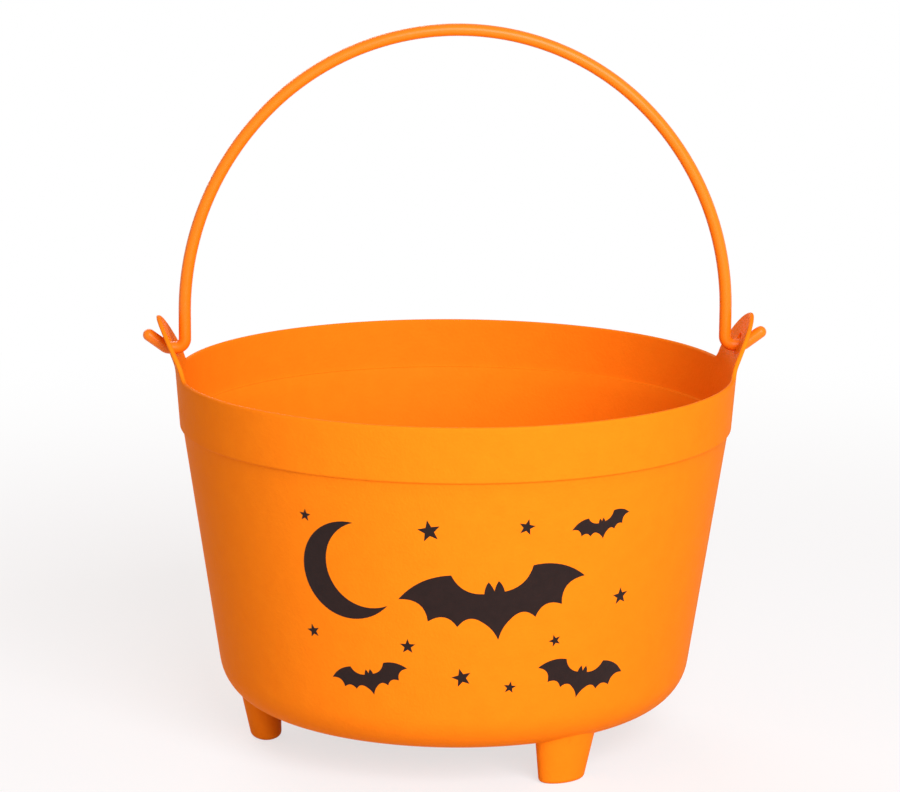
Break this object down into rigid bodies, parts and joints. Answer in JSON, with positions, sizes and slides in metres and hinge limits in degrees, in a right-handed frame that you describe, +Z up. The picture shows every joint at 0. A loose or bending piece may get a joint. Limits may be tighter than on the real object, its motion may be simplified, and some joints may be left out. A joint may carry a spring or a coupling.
{
  "type": "witch cauldron",
  "caption": "Moulded treat cauldron on peg feet, with a stepped rim band, flared ears with eyelets and a swinging bail that is hooked through them to carry it.",
  "frame": {"origin": "on the ground under the middle of the tub, at the level of the feet's soles", "axes": "+Z up; the ears and the bail's pivots lie along X; the printed front faces -Y"},
  "size_m": [0.2228, 0.2, 0.2584],
  "materials": {
    "tub_plastic": "fine moulded texture, half matt orange",
    "bail_plastic": "smooth moulded orange",
    "print_ink": "printed dark brown ink"
  },
  "bodies": {
    "tub": {"cauldron_tub": "tub_plastic"},
    "bail": {"bail_handle": "bail_plastic"}
  },
  "joints": [
    {"name": "bail_swing", "type": "hinge", "parent": "tub", "child": "bail", "pos_m": [0, 0, 0.1431], "axis": [1, 0, 0], "range_deg": [-90, 90]}
  ]
}
